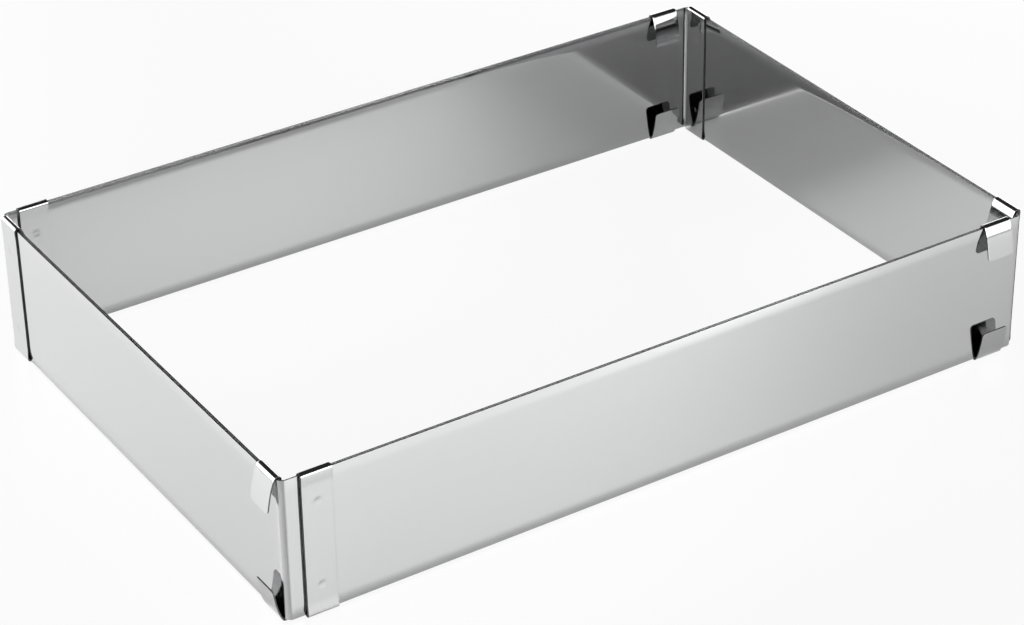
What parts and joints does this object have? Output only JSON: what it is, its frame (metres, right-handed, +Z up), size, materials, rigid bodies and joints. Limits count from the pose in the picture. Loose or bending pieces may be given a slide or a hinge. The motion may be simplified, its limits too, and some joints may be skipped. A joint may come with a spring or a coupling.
{
  "type": "adjustable cake frame",
  "caption": "Open rectangular steel baking frame of overlapping L-shaped plates that slide in each other's folded clips, to set the length and width of a cake.",
  "frame": {"origin": "centre of the footprint, on the worktop under the clips' lower folds, with the frame pushed together", "axes": "+X along the long walls, +Y along the short walls towards the back, +Z up"},
  "size_m": [0.287, 0.197, 0.0515],
  "materials": {
    "plate_steel": "bright cold-rolled stainless sheet, mirror-like with faint rolling lines",
    "clip_steel": "bright stainless strip, mirror-like, with faint spot-weld marks"
  },
  "bodies": {
    "front_left_corner": {"front_left_plate": "plate_steel", "front_wall_clip_right": "clip_steel", "left_wall_clip_back": "clip_steel"},
    "front_right_corner": {"front_right_plate": "plate_steel", "front_wall_clip_left": "clip_steel", "right_wall_clip_back": "clip_steel"},
    "back_right_corner": {"back_right_plate": "plate_steel", "right_wall_clip_front": "clip_steel", "back_wall_clip_left": "clip_steel"},
    "back_left_corner": {"back_left_plate": "plate_steel", "back_wall_clip_right": "clip_steel", "left_wall_clip_front": "clip_steel"}
  },
  "joints": [
    {"name": "length_slide", "type": "slide", "parent": "front_left_corner", "child": "front_right_corner", "axis": [1, 0, 0], "range_m": [-0.003, 0.2455]},
    {"name": "width_slide_left", "type": "slide", "parent": "front_left_corner", "child": "back_left_corner", "axis": [0, 1, 0], "range_m": [0, 0.162]},
    {"name": "width_slide_right", "type": "slide", "parent": "front_right_corner", "child": "back_right_corner", "axis": [0, 1, 0], "range_m": [0, 0.162]}
  ],
  "couplings": [
    {"joint": "width_slide_right", "follows": "width_slide_left", "ratio": 1}
  ]
}
